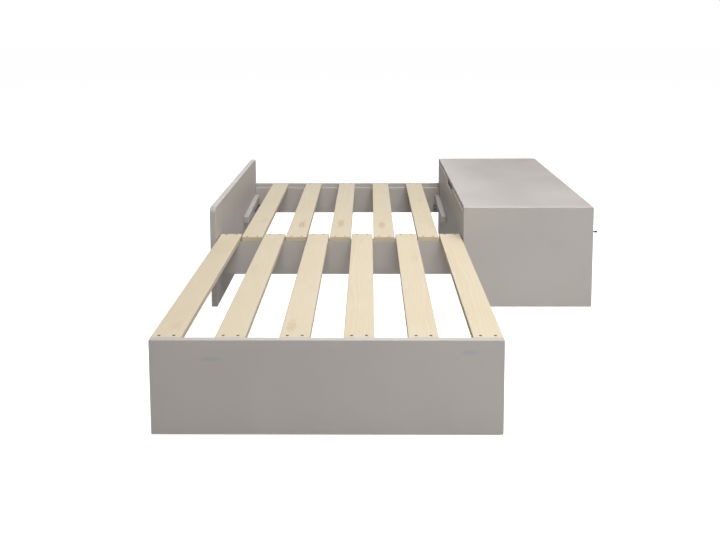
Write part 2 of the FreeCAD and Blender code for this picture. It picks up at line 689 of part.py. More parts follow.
for side in ("front", "rear"):
    board(f"{side}_door", (door_back, door_starts[side], "door_foot"),
          ("door_thick", "door_wide", "door_tall"))
    group(f"{side}_door_hinge_leaves", moving_leaf, door_hinges[side])
    group(f"{side}_door_hinge_pins", hinge_pin, door_hinges[side])
    strike_start = {"front": "chest_front + door_gap", "rear": "chest_rear - door_gap - magnet_size"}[side]
    strike = new_body(f"{side}_door_strike")
    strike_outline = new_sketch(strike, "outline", "YZ_Plane")
    add_rectangle(strike_outline, "board_round", "0", "magnet_size - board_round", "magnet_tall")
    pad(strike, strike_outline, "strike_thick")
    place(strike, f"{door_back} - strike_thick", strike_start, magnet_foot)
    knob = new_body(f"{side}_door_knob")
    profile = new_sketch(knob, "profile", "XY_Plane")
    add_outline(profile, (
        ("0", "0"), ("0", "knob_base"), ("knob_reach / 20", "knob_base"),
        ("knob_reach / 7", "knob_stem"), ("knob_reach * 3 / 4", "knob_stem"),
        ("knob_reach * 4 / 5", "knob_tip"), ("knob_reach * 19 / 20", "knob_tip"),
        ("knob_reach", "knob_tip * 3 / 4"), ("knob_reach", "0")))
    turned = knob.newObject("PartDesign::Revolution", knob.Name + "_turned")
    turned.Profile = profile
    turned.ReferenceAxis = (profile, ["H_Axis"])
    turned.Angle = 360
    place(knob, "chest_right", knob_lines[side], "knob_height")

# ---------------------------------------------------------------------------------------
# Sliding half: front board, cleat, slats, rear beam
# ---------------------------------------------------------------------------------------
board("front_panel", ("panel_left", "panel_face", "floor_gap"),
      ("panel_width", "front_thick", "slide_top - floor_gap"))
board("front_cleat", ("panel_left", "panel_back", "slide_level - cleat_tall"),
      ("panel_width", "cleat_thick", "cleat_tall"), "timber_round")
rear_beam = board("rear_beam", ("panel_left", "beam_face", "beam_foot"),
                  ("panel_width", "beam_thick", "beam_tall"), "timber_round")

# The beam's top is relieved where it passes under the fixed slats
relief = new_sketch(rear_beam, "relief", "XY_Plane", "beam_tall")
for number in fixed_numbers:
    add_rectangle(relief, f"{fixed_left(number)} - panel_left - side_gap / 2", "-beam_thick",
                  "slat_width + side_gap", "3 * beam_thick")
pocket(rear_beam, relief, "slide_lift + comb_gap")

for number in sliding_numbers:
    slat(f"sliding_slat_{number + 1}", sliding_left(number), "panel_back", "slide_level",
         "sliding_long", "cleat_thick / 2", "beam_thick / 2")
slat_screws("sliding_slat_screws", [sliding_left(number) for number in sliding_numbers],
            "panel_back + cleat_thick / 2", "beam_face + beam_thick / 2", "slide_top")
group("cleat_screws", slat_screw,
      [spot(f"panel_left + panel_width * {share}", "panel_back + cleat_thick",
            "slide_level - cleat_tall / 2", SHANK_FRONT) for share in SCREW_SHARES])

# ---------------------------------------------------------------------------------------
# Sliding half: two castors behind the front board
# ---------------------------------------------------------------------------------------
def castor(side, line):
    """A fork on the front board's back, and a wheel that turns in it."""
    fork = new_body(f"castor_fork_{side}")
    flange = new_sketch(fork, "flange", "XZ_Plane")
    add_rectangle(flange, "-flange_width / 2", "flange_foot", "flange_width", "fork_top - flange_foot")
    pad(fork, flange, "fork_wall", reverse=True)
    arms = new_sketch(fork, "arms", "YZ_Plane", "-fork_width / 2")
    add_outline(arms, (
        ("0", "fork_foot"), ("wheel_setback + fork_eye", "fork_foot"),
        ("wheel_setback + fork_eye", "wheel_radius + fork_eye"),
        ("2 * fork_wall", "fork_top"), ("0", "fork_top")))
    pad(fork, arms, "fork_width")
    slot = new_sketch(fork, "slot", "YZ_Plane", "-wheel_width / 2 - fork_gap")
    add_rectangle(slot, "fork_wall", "0", "2 * wheel_setback", "fork_top + fork_wall")
    pocket(fork, slot, "wheel_width + 2 * fork_gap", reverse=True)
    eye = new_sketch(fork, "eye", "YZ_Plane", "-fork_width")
    add_circle(eye, "wheel_setback", "wheel_radius", "axle_radius + axle_clearance")
    pocket(fork, eye, "2 * fork_width", reverse=True)
    holes = new_sketch(fork, "holes", "XZ_Plane")
    for turn in (-1, 1):
        add_circle(holes, f"{turn} * (flange_width + fork_width) / 4",
                   "(flange_foot + fork_top) / 2", "shank_radius + hole_clearance")
    pocket(fork, holes, "2 * fork_wall")
    eye_line = value("wheel_setback + fork_eye")
    round_edges(fork, "fork_eye * 3 / 4",
                lambda edge: along_x(edge) and abs(edge.CenterOfMass.y - eye_line) < 0.01)
    place(fork, line, "panel_back", "0")

    wheel = new_body(f"castor_wheel_{side}")
    tread = new_sketch(wheel, "tread", "YZ_Plane", "-wheel_width / 2")
    add_circle(tread, "0", "0", "wheel_radius")
    add_circle(tread, "0", "0", "axle_radius + axle_clearance")
    pad(wheel, tread, "wheel_width")
    rim = value("wheel_radius")
    round_edges(wheel, "wheel_dish", lambda edge: abs(edge.Curve.Radius - rim) < 0.01
                if edge.Curve.TypeId == "Part::GeomCircle" else False)
    for name, level, inward in (("left_dish", "-wheel_width / 2", True), ("right_dish", "wheel_width / 2", False)):
        dish = new_sketch(wheel, name, "YZ_Plane", level)
        add_circle(dish, "0", "0", "wheel_radius * 3 / 4")
        add_circle(dish, "0", "0", "2 * axle_radius")
        pocket(wheel, dish, "wheel_dish", reverse=inward)
    place(wheel, line, "axle_line", "wheel_radius")


castor_lines = {"left": "left_wheel", "right": "right_wheel"}
for side, line in castor_lines.items():
    castor(side, line)

axle_long = "fork_width + 2 * pad_clearance"
axle_stem = solid("Cylinder", "axle_stem", Radius="axle_radius", Height=axle_long)
axle_heads = [solid("Cylinder", f"axle_head{order}", ("0", "0", level),
                    Radius="axle_head", Height="axle_head_thick")
              for order, level in enumerate(("-axle_head_thick", axle_long))]
axle = join("axle", [axle_stem] + axle_heads)
group("castor_axles", axle,
      [spot(f"{line} + fork_width / 2 + pad_clearance", "axle_line", "wheel_radius", SHANK_RIGHT)
       for line in castor_lines.values()])
group("castor_screws", bracket_screw,
      [spot(f"{line} + {turn} * (flange_width + fork_width) / 4", "panel_back + fork_wall",
            "(flange_foot + fork_top) / 2", SHANK_FRONT)
       for line in castor_lines.values() for turn in (-1, 1)])

# ---------------------------------------------------------------------------------------
# Check every object, then write one file for each piece
# ---------------------------------------------------------------------------------------
doc.recompute()
for item in doc.Objects:
    if "Invalid" in item.State or "Error" in item.State:
        raise RuntimeError(f"{item.Name} failed: {item.State}")
for piece in pieces:
    if piece.Shape.isNull() or not piece.Shape.isValid():
        raise RuntimeError(f"{piece.Label} has no valid shape")
for piece in pieces:
    piece.Shape.exportStep(f"parts/{piece.Label}.step")
print(len(pieces), "pieces written")
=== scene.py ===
# %% [markdown]
# # A pull-out slatted bed and its chest
# The bed is two combs of pine slats.  The rear comb is fixed between an end board and a chest,
# and the front comb slides out of it behind a low front board on two castors.
# The measured model of every piece is loaded first, as a fixed frame.  This lesson then gives
# each piece its finish, and makes again the pieces whose surfaces deserve more care.
# Lengths are in metres.
# %% Load the frame
import json
import math
import bpy
import numpy as np
from mathutils import Matrix, Vector

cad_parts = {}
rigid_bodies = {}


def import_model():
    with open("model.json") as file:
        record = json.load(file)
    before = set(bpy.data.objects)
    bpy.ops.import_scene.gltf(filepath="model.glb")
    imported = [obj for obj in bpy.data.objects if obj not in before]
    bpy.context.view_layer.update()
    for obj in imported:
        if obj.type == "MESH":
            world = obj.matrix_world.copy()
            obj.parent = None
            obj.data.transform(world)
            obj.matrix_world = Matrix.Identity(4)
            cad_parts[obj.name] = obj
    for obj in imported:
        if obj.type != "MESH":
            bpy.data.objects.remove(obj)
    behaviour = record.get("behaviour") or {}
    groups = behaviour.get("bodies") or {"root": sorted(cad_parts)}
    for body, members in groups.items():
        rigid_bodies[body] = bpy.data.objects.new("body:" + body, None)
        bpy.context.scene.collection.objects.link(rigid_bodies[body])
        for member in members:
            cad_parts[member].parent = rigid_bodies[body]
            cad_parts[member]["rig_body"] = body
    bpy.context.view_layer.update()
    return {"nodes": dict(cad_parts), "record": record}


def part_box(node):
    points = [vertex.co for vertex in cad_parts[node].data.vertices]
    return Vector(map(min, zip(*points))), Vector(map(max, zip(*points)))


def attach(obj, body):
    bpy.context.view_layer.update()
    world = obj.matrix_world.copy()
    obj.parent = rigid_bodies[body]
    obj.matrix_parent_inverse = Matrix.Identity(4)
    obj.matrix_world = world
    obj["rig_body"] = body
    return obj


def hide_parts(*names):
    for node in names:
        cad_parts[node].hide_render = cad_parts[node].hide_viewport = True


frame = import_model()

nodes = frame["nodes"]
body_of = {name: piece["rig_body"] for name, piece in nodes.items()}
slot_of = {row["node"]: row["material_slot"] for row in frame["record"]["subparts"]}

# %% [markdown]
# ## The camera
# The bed is seen from the front at the height of a seated person's eyes, a little to the left
# of its middle.  A vertical shift of the lens lets the camera look almost level, so upright
# edges stay nearly upright.  The turn is built from three directions, because that makes the small
# angles easy to read: yaw to the left, pitch down, and roll.
# %% Aim the camera
EYE = Vector((-0.1342, -3.0424, 1.0498))
YAW, PITCH, ROLL = 0.0107, 0.1104, -0.0033
LENS_MM, SENSOR_MM, SHIFT = 41.5, 36.0, -0.217

forward = Vector((-math.sin(YAW) * math.cos(PITCH), math.cos(YAW) * math.cos(PITCH), -math.sin(PITCH)))
level_right = Vector((math.cos(YAW), math.sin(YAW), 0))
level_up = level_right.cross(forward)
right = level_right * math.cos(ROLL) + level_up * math.sin(ROLL)
up = right.cross(forward)

camera = bpy.data.objects.new("camera", bpy.data.cameras.new("camera"))
camera.data.lens = LENS_MM
camera.data.sensor_width = SENSOR_MM
camera.data.shift_y = SHIFT
camera.matrix_world = Matrix((
    (right.x, up.x, -forward.x, EYE.x),
    (right.y, up.y, -forward.y, EYE.y),
    (right.z, up.z, -forward.z, EYE.z),
    (0, 0, 0, 1)))
bpy.context.scene.collection.objects.link(camera)
bpy.context.scene.camera = camera
print("camera looks along", tuple(round(part, 3) for part in forward))

# %% [markdown]
# ## Soft studio light
# A white studio is a faint dome with large softboxes: a strong one high in front, one over the
# bed, one behind and one at the front right.  Faces that look up are then lightest, the chest's
# front is lighter than the front board, and faces that look left are darkest.  The dome is the
# world.  It shows white to the camera and lights the bed with less strength than it shows.
# Two more softboxes, at the rear left and the right, keep the far sides from going dull.
# %% Light the studio
scene = bpy.context.scene
scene.view_settings.view_transform = "Standard"
DOME_LIGHT, DOME_SEEN = 0.145, 1.0

world = bpy.data.worlds.new("studio")
scene.world = world
world.use_nodes = True
sky = world.node_tree
background = sky.nodes["Background"]
background.inputs["Color"].default_value = (1, 1, 1, 1)
seen = sky.nodes.new("ShaderNodeLightPath")
strength = sky.nodes.new("ShaderNodeMapRange")
strength.inputs["To Min"].default_value = DOME_LIGHT
strength.inputs["To Max"].default_value = DOME_SEEN
sky.links.new(seen.outputs["Is Camera Ray"], strength.inputs["Value"])
sky.links.new(strength.outputs["Result"], background.inputs["Strength"])


def softbox(name, place, target, size, watts):
    """A square area light at place, turned towards target."""
    light = bpy.data.lights.new(name, "AREA")
    light.size = size
    light.energy = watts
    lamp = bpy.data.objects.new(name, light)
    lamp.location = place
    lamp.rotation_euler = (Vector(target) - Vector(place)).to_track_quat("-Z", "Y").to_euler()
    scene.collection.objects.link(lamp)


softbox("high in front", (0.4, -2.4, 3.2), (0.2, -0.4, 0.2), 2.2, 84)
softbox("overhead", (0.5, -0.42, 2.6), (0.4, 0.1, 0.1), 2.0, 36)
softbox("behind", (0.6, 1.6, 2.8), (0.2, 0.3, 0.2), 2.4, 24)
softbox("front right", (2.6, -3.4, 2.0), (0.2, -0.2, 0.2), 2.2, 24)
softbox("rear left", (-0.6, 4.4, 1.7), (0.0, 0.4, 0.1), 2.4, 32)
softbox("right", (4.6, 0.6, 1.4), (0.4, 0.2, 0.2), 2.0, 10)

# %% [markdown]
# ## Tools for materials
# A node tree is easier to read as a list of calls than as boxes and wires.  `add` makes one
# node, sets its properties, and gives each named socket a number, a colour or a link.
# `maths` does the same for a Math node, whose two inputs share one name, and `combine` does it
# for two vectors.
# %% Node helpers
def give(tree, socket, given):
    """Link an output to the socket, or set the socket's own value."""
    if isinstance(given, bpy.types.NodeSocket):
        tree.links.new(given, socket)
    elif socket.type == "RGBA":
        socket.default_value = (*given, 1)
    else:
        socket.default_value = given


def add(tree, kind, settings=None, **sockets):
    """One node of a kind; an underscore in a socket's name stands for a space."""
    made = tree.nodes.new("ShaderNode" + kind)
    for name, setting in (settings or {}).items():
        setattr(made, name, setting)
    for name, given in sockets.items():
        give(tree, made.inputs[name.replace("_", " ")], given)
    return made


def maths(tree, operation, first, second=None, clamp=False):
    """The result of a Math node."""
    made = tree.nodes.new("ShaderNodeMath")
    made.operation = operation
    made.use_clamp = clamp
    give(tree, made.inputs[0], first)
    if second is not None:
        give(tree, made.inputs[1], second)
    return made.outputs[0]


def times(tree, first, second):
    """The product of two values."""
    return maths(tree, "MULTIPLY", first, second)


def plus(tree, first, second):
    """The sum of two values."""
    return maths(tree, "ADD", first, second)


def minus(tree, first, second):
    """The first value less the second."""
    return maths(tree, "SUBTRACT", first, second)


def combine(tree, operation, first, second=None):
    """The outputs of a VectorMath node on one or two vectors."""
    made = add(tree, "VectorMath", {"operation": operation})
    give(tree, made.inputs[0], first)
    if second is not None:
        give(tree, made.inputs[1], second)
    return made.outputs


def ramp(tree, amount, low, high, start=0.0, end=1.0):
    """A value carried smoothly from start to end while amount goes from low to high."""
    made = add(tree, "MapRange", {"interpolation_type": "SMOOTHSTEP"}, Value=amount,
               From_Min=low, From_Max=high, To_Min=start, To_Max=end)
    return made.outputs["Result"]


def blend_colours(tree, share, first, second):
    """The first colour where share is 0 and the second where it is 1."""
    made = tree.nodes.new("ShaderNodeMix")
    made.data_type = "RGBA"
    give(tree, made.inputs["Factor"], share)
    for socket, given in zip([item for item in made.inputs if item.type == "RGBA"], (first, second)):
        give(tree, socket, given)
    return next(item for item in made.outputs if item.type == "RGBA")


def new_group(name, takes, gives):
    """An empty node group; takes holds (name, kind, value) and gives holds (name, kind)."""
    group = bpy.data.node_groups.new(name, "ShaderNodeTree")
    for label, kind, start in takes:
        socket = group.interface.new_socket(label, in_out="INPUT", socket_type="NodeSocket" + kind)
        if start is not None:
            socket.default_value = start
    for label, kind in gives:
        group.interface.new_socket(label, in_out="OUTPUT", socket_type="NodeSocket" + kind)
    return group, group.nodes.new("NodeGroupInput").outputs, group.nodes.new("NodeGroupOutput").inputs


def place_group(tree, group, **sockets):
    """A group in a tree, with its own values."""
    made = tree.nodes.new("ShaderNodeGroup")
    made.node_tree = group
    for name, given in sockets.items():
        give(tree, made.inputs[name.replace("_", " ")], given)
    return made.outputs


def new_material(name, **constants):
    """A material with its Principled shader; constants are set on the shader's own sockets."""
    material = bpy.data.materials.new(name)
    material.use_nodes = True
    tree = material.node_tree
    shader = tree.nodes["Principled BSDF"]
    for label, given in constants.items():
        give(tree, shader.inputs[label.replace("_", " ")], given)
    where = tree.nodes.new("ShaderNodeTexCoord").outputs["Object"]
    return material, tree, shader, where


def bump(tree, shader, height, depth):
    """Feed a height from 0 to 1 to the shader's normal, as relief so many metres deep."""
    made = add(tree, "Bump", Height=height, Distance=depth, Strength=1.0)
    tree.links.new(made.outputs["Normal"], shader.inputs["Normal"])


print("material tools ready")

# %% [markdown]
# ## The floor
# The floor is a wide pale sheet with a glow of its own.  The glow shows to the camera and
# lights nothing, so the shadow under the bed stays faint.
# %% Lay the floor
FLOOR_HALF = 30.0
floor_mesh = bpy.data.meshes.new("floor")
floor_mesh.from_pydata([(-FLOOR_HALF, -FLOOR_HALF, 0), (FLOOR_HALF, -FLOOR_HALF, 0),
                        (FLOOR_HALF, FLOOR_HALF, 0), (-FLOOR_HALF, FLOOR_HALF, 0)], [], [(0, 1, 2, 3)])
floor = bpy.data.objects.new("floor", floor_mesh)
scene.collection.objects.link(floor)

GLOW = 0.90
paper, tree, shader, where = new_material("paper floor", Roughness=0.9, Specular_IOR_Level=0.1)
grey = add(tree, "TexNoise", Vector=where, Scale=1.3, Detail=3.0).outputs["Fac"]
tree.links.new(blend_colours(tree, grey, (0.58, 0.58, 0.58), (0.62, 0.62, 0.62)), shader.inputs["Base Color"])
to_camera = tree.nodes.new("ShaderNodeLightPath").outputs["Is Camera Ray"]
tree.links.new(times(tree, to_camera, GLOW), shader.inputs["Emission Strength"])
shader.inputs["Emission Color"].default_value = (1, 1, 1, 1)
floor_mesh.materials.append(paper)
print("floor", 2 * FLOOR_HALF, "m wide")

# %% [markdown]
# ## Effects that several finishes share
# A sprayed board is never one flat colour: large pale clouds lie in the lacquer, and its
# surface has the fine dimples of spray.  Sawn timber has rings, fibres and a tone of its own on
# every stick.  Each effect is a group, made once and placed with different sizes.
# %% Cloudy tone and spray dimples
clouds, takes, gives = new_group(
    "clouds", [("Vector", "Vector", None), ("Size", "Float", 0.3), ("Speck", "Float", 0.004)],
    [("Tone", "Float"), ("Speckle", "Float")])
broad = add(clouds, "TexNoise", Vector=takes["Vector"], Scale=maths(clouds, "DIVIDE", 1.0, takes["Size"]),
            Detail=4.0, Roughness=0.55, Distortion=0.4)
clouds.links.new(ramp(clouds, broad.outputs["Fac"], 0.3, 0.7), gives["Tone"])
speck = add(clouds, "TexNoise", Vector=takes["Vector"], Scale=maths(clouds, "DIVIDE", 1.0, takes["Speck"]),
            Detail=2.0)
clouds.links.new(ramp(clouds, speck.outputs["Fac"], 0.35, 0.65), gives["Speckle"])

# %% Lighter edges: wear and painted highlight
lit_worn_edges, takes, gives = new_group(
    "worn and highlit edges", [("Vector", "Vector", None), ("Amount", "Float", 1.0)], [("Mask", "Float")])
# The edge weight, broken by noise, says where a finish is painted lighter at its rims: a painted highlight
# with a little wear.
edge = add(lit_worn_edges, "Attribute", {"attribute_name": "edge"}).outputs["Fac"]
breaks = add(lit_worn_edges, "TexNoise", Vector=takes["Vector"], Scale=38.0, Detail=3.0).outputs["Fac"]
wear_and_highlight = times(lit_worn_edges, edge, ramp(lit_worn_edges, breaks, 0.3, 0.7, 0.55, 1.0))
lit_worn_edges.links.new(maths(lit_worn_edges, "MULTIPLY", wear_and_highlight, takes["Amount"], clamp=True), gives["Mask"])

# %% [markdown]
# A slat is sawn from a log, so its grain is a slice through the log's rings.  The group below
# gives every stick its own log: it numbers the sticks by their place across the bed, draws
# three random numbers from that number, and puts the heart of the log somewhere near the
# stick.  The distance from the heart, bent a little by noise, gives the rings.
# The same rings come out right on the faces and on the ends, because they fill the wood.
# %% Sawn timber
HEART_SPREAD, HEART_DRIFT = 0.10, 0.05
HEART_HIGHEST, HEART_DROP = 0.25, 0.07
BEND, BEND_ACROSS, BEND_ALONG = 0.014, 14.0, 2.2
FIBRES_ACROSS, FIBRES_ALONG = 900.0, 14.0
STICK_STEP, FIRST_DRAW = 3.1, 7.3

timber, takes, gives = new_group(
    "sawn timber",
    [("Vector", "Vector", None), ("First", "Float", 0.0), ("Spacing", "Float", 0.1),
     ("Ring", "Float", 0.004)],
    [("Rings", "Float"), ("Fibres", "Float"), ("Stick", "Float")])
split = add(timber, "SeparateXYZ", Vector=takes["Vector"]).outputs
across = minus(timber, split["X"], takes["First"])
number = maths(timber, "ROUND", maths(timber, "DIVIDE", across, takes["Spacing"]))
local = minus(timber, across, times(timber, number, takes["Spacing"]))
chance = add(timber, "TexWhiteNoise", {"noise_dimensions": "1D"}, W=plus(timber, number, FIRST_DRAW))
draws = add(timber, "SeparateColor", Color=chance.outputs["Color"]).outputs
apart = times(timber, number, STICK_STEP)
slow_place = add(timber, "CombineXYZ", X=apart, Y=times(timber, split["Y"], 1.1), Z=0.0)
drift = add(timber, "TexNoise", Vector=slow_place.outputs["Vector"], Scale=1.0, Detail=2.0).outputs["Fac"]
heart_x = times(timber, minus(timber, draws["Red"], 0.5), HEART_SPREAD)
heart_x = plus(timber, heart_x, times(timber, minus(timber, drift, 0.5), HEART_DRIFT))
heart_z = minus(timber, HEART_HIGHEST, times(timber, draws["Green"], HEART_DROP))
bend_place = add(timber, "CombineXYZ", X=plus(timber, times(timber, local, BEND_ACROSS), apart),
                 Y=times(timber, split["Y"], BEND_ALONG), Z=times(timber, split["Z"], BEND_ACROSS))
bent = add(timber, "TexNoise", Vector=bend_place.outputs["Vector"], Scale=1.0, Detail=3.0).outputs["Fac"]
away_x = minus(timber, local, heart_x)
away_z = minus(timber, split["Z"], heart_z)
reach = maths(timber, "SQRT", plus(timber, times(timber, away_x, away_x), times(timber, away_z, away_z)))
reach = plus(timber, reach, times(timber, bent, BEND))
ring = maths(timber, "FRACT", maths(timber, "DIVIDE", reach, takes["Ring"]))
late = times(timber, ramp(timber, ring, 0.35, 0.92), ramp(timber, ring, 0.93, 1.0, 1.0, 0.0))
timber.links.new(late, gives["Rings"])
fibre_place = add(timber, "CombineXYZ", X=times(timber, split["X"], FIBRES_ACROSS),
                  Y=times(timber, split["Y"], FIBRES_ALONG), Z=times(timber, split["Z"], FIBRES_ACROSS))
fibre = add(timber, "TexNoise", Vector=fibre_place.outputs["Vector"], Scale=1.0, Detail=3.0).outputs["Fac"]
timber.links.new(ramp(timber, fibre, 0.3, 0.7), gives["Fibres"])
timber.links.new(draws["Blue"], gives["Stick"])

# %% [markdown]
# A knot, or the dark figure beside one, is a soft oval in a slat.  So is a faint darker, bluish
# patch on a lacquered board.  One group gives an oval with a ragged edge round a centre.
# %% Soft ovals
oval, takes, gives = new_group(
    "soft oval", [("Vector", "Vector", None), ("Centre", "Vector", None), ("Half Sizes", "Vector", None),
                  ("Ragged", "Float", 0.5), ("Detail Size", "Float", 0.01)], [("Mask", "Float")])
offset = combine(oval, "SUBTRACT", takes["Vector"], takes["Centre"])["Vector"]
shrunk = combine(oval, "DIVIDE", offset, takes["Half Sizes"])["Vector"]
distance = combine(oval, "LENGTH", shrunk)["Value"]
rough = add(oval, "TexNoise", Vector=takes["Vector"], Scale=maths(oval, "DIVIDE", 1.0, takes["Detail Size"]),
            Detail=3.0).outputs["Fac"]
ragged = times(oval, minus(oval, rough, 0.5), times(oval, takes["Ragged"], 2.0))
oval.links.new(ramp(oval, plus(oval, distance, ragged), 0.35, 1.0, 1.0, 0.0),
               gives["Mask"])
print("groups:", [group.name for group in bpy.data.node_groups])

# %% [markdown]
# ## Greige lacquer
# Every board has the same satin lacquer, a grey with a little beige in it.  The colour moves a
# few percent with the clouds, the rounded edges are painted a touch lighter, as a highlight with
# a little wear, and the roughness follows the clouds, so a reflection is never quite even.  A
# second, finer layer of clouds is drawn out upright into lighter bands, as painted soft reflections.
# %% Mix the lacquer
LACQUER = np.array((0.452, 0.424, 0.398))
REFLECTION_STRETCH = (1.0, 1.0, 0.12)


def lacquer(name, marks=()):
    """Satin greige lacquer; marks are (centre, half sizes, strength) of faint darker, bluish patches."""
    material, tree, shader, where = new_material(name, Specular_IOR_Level=0.42)
    tone = place_group(tree, clouds, Vector=where, Size=0.32, Speck=0.0016)
    # Clouds drawn out upright into lighter bands: painted soft reflections.
    upright_place = combine(tree, "MULTIPLY", where, REFLECTION_STRETCH)["Vector"]
    reflection_bands = place_group(tree, clouds, Vector=upright_place, Size=0.09, Speck=0.01)["Tone"]
    colour = blend_colours(tree, tone["Tone"], LACQUER * (0.975, 0.965, 0.965), LACQUER * (1.02, 1.025, 1.03))
    colour = blend_colours(tree, times(tree, reflection_bands, 0.5), colour, LACQUER * (1.055, 1.035, 1.02))
    # Lighter rounded edges: a painted highlight with a little wear.
    wear_and_highlight = place_group(tree, lit_worn_edges, Vector=where, Amount=0.4)["Mask"]
    colour = blend_colours(tree, wear_and_highlight, colour, LACQUER * 1.18)
    for centre, half, amount in marks:
        mark = place_group(tree, oval, Vector=where, Centre=centre, Half_Sizes=half,
                           Ragged=0.6, Detail_Size=0.02)["Mask"]
        colour = blend_colours(tree, times(tree, mark, amount), colour, LACQUER * (0.70, 0.84, 1.0))
    tree.links.new(colour, shader.inputs["Base Color"])
    tree.links.new(ramp(tree, tone["Tone"], 0, 1, 0.40, 0.50), shader.inputs["Roughness"])
    bump(tree, shader, tone["Speckle"], 0.00004)
    return material


board_lacquer = lacquer("greige lacquer")
front_low, front_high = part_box("front_panel")
chest_low, chest_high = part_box("chest_front_panel")
MARK_HEIGHT, MARK_DEEP = front_high.z - 0.050, 0.05
front_marks = [
    ((front_low.x + 0.155, front_low.y, MARK_HEIGHT), (0.042, MARK_DEEP, 0.008), 0.50),
    ((front_high.x - 0.092, front_low.y, MARK_HEIGHT + 0.018), (0.027, MARK_DEEP, 0.009), 0.40),
    ((chest_high.x - 0.136, chest_low.y, chest_low.z + 0.238), (0.040, MARK_DEEP, 0.022), 0.16)]
front_lacquer = lacquer("greige lacquer with bluish patches", front_marks)
print("lacquer", LACQUER)

# %% [markdown]
# ## Pine
# The slats are planed pine without lacquer: pale cream, with rings that hardly show, fine
# fibres along the slat, and here and there a pinkish figure near a knot.  End grain drinks
# more light, so faces that look to the front or the rear are darker.
# %% Mix the pine
slat_lefts = sorted(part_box(name)[0].x for name in nodes if "_slat_" in name and "screws" not in name)
slat_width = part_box("sliding_slat_1")[1].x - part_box("sliding_slat_1")[0].x
slat_spacing = (slat_lefts[-1] - slat_lefts[0]) / (len(slat_lefts) - 1)
first_slat = slat_lefts[0] + slat_width / 2


def knot(slat, y, half_long, amount, shift):
    """A knot's figure in a slat: its centre, half sizes and strength."""
    low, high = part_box(slat)
    return ((low.x + high.x) / 2 + shift, y, high.z), (KNOT_ACROSS, half_long, KNOT_DEEP), amount


KNOT_ACROSS, KNOT_DEEP = 0.017, 0.05
slat_knots = [
    knot("fixed_slat_1", 0.25, half_long=0.0625, amount=0.25, shift=0.018),
    knot("fixed_slat_2", 0.17, half_long=0.075, amount=0.85, shift=0.008),
    knot("fixed_slat_3", 0.19, half_long=0.0875, amount=0.75, shift=-0.004),
    knot("fixed_slat_4", 0.16, half_long=0.075, amount=0.85, shift=-0.006),
    knot("fixed_slat_5", 0.62, half_long=0.0625, amount=0.22, shift=0.010),
    knot("sliding_slat_1", -0.93, half_long=0.04375, amount=0.28, shift=0.012),
    knot("sliding_slat_3", -0.93, half_long=0.05625, amount=0.50, shift=-0.013),
    knot("sliding_slat_2", -0.42, half_long=0.075, amount=0.20, shift=-0.016),
    knot("sliding_slat_5", -0.30, half_long=0.0625, amount=0.22, shift=0.015)]


def pine(name, pale, warm, first, spacing, knots=()):
    """Planed pine between two tones, with its sticks numbered from first by their spacing."""
    material, tree, shader, where = new_material(name, Specular_IOR_Level=0.3)
    wood = place_group(tree, timber, Vector=where, First=first, Spacing=spacing, Ring=0.0052)
    tone = place_group(tree, clouds, Vector=where, Size=0.22, Speck=0.002)["Tone"]
    colour = blend_colours(tree, times(tree, wood["Rings"], 0.38), pale, warm)
    colour = blend_colours(tree, times(tree, wood["Fibres"], 0.22), colour, warm * 0.93)
    colour = blend_colours(tree, times(tree, tone, 0.28), colour, warm)
    colour = blend_colours(tree, times(tree, wood["Stick"], 0.30), colour, pale * (0.94, 0.93, 0.92))
    for centre, half, amount in knots:
        mark = place_group(tree, oval, Vector=where, Centre=centre, Half_Sizes=half,
                           Ragged=0.9, Detail_Size=0.012)["Mask"]
        lines = plus(tree, times(tree, wood["Rings"], 0.5), 0.5)
        mark = times(tree, times(tree, mark, lines), amount)
        colour = blend_colours(tree, mark, colour, warm * (0.80, 0.62, 0.55))
    facing = add(tree, "SeparateXYZ", Vector=add(tree, "NewGeometry").outputs["Normal"]).outputs["Y"]
    end_grain = ramp(tree, maths(tree, "ABSOLUTE", facing), 0.6, 0.9)
    colour = blend_colours(tree, times(tree, end_grain, 0.30), colour, warm * (0.80, 0.72, 0.62))
    tree.links.new(colour, shader.inputs["Base Color"])
    tree.links.new(ramp(tree, wood["Fibres"], 0, 1, 0.58, 0.72), shader.inputs["Roughness"])
    height = plus(tree, times(tree, wood["Fibres"], 0.6), times(tree, wood["Rings"], 0.4))
    bump(tree, shader, height, 0.00008)
    return material


PALE_PINE, WARM_PINE = np.array((0.628, 0.555, 0.417)), np.array((0.565, 0.461, 0.308))
slat_pine = pine("planed pine", PALE_PINE, WARM_PINE, first_slat, slat_spacing, slat_knots)
rough_pine = pine("hidden pine", np.array((0.60, 0.47, 0.29)), np.array((0.50, 0.36, 0.19)), 0.0, 0.4)
print(len(slat_lefts), "slats,", round(slat_spacing * 1000, 1), "mm apart")

# %% [markdown]
# ## Metals and plastics
# The small parts are steel in four states, and moulded plastic.  Brushed steel has fine lines
# in one direction, zinc has flakes, and the knobs are dark and satin.  The same clouds group
# gives the plastics their slight mottle.
# %% Metals
brushed, takes, gives = new_group(
    "brushed lines", [("Vector", "Vector", None), ("Stretch", "Vector", None)], [("Lines", "Float")])
stretched = combine(brushed, "MULTIPLY", takes["Vector"], takes["Stretch"])["Vector"]
lines = add(brushed, "TexNoise", Vector=stretched, Scale=1.0, Detail=3.0).outputs["Fac"]
brushed.links.new(ramp(brushed, lines, 0.3, 0.7), gives["Lines"])


def metal(name, dark, light, rough, stretch, metallic=1.0):
    """A metal between two tones whose fine lines or flakes follow the stretch."""
    material, tree, shader, where = new_material(name, Metallic=metallic)
    fine = place_group(tree, brushed, Vector=where, Stretch=stretch)["Lines"]
    tone = place_group(tree, clouds, Vector=where, Size=0.012, Speck=0.0008)["Tone"]
    mixed = plus(tree, times(tree, fine, 0.5), times(tree, tone, 0.5))
    tree.links.new(blend_colours(tree, mixed, dark, light), shader.inputs["Base Color"])
    tree.links.new(ramp(tree, mixed, 0, 1, rough - 0.07, rough + 0.07), shader.inputs["Roughness"])
    bump(tree, shader, fine, 0.00002)
    return material


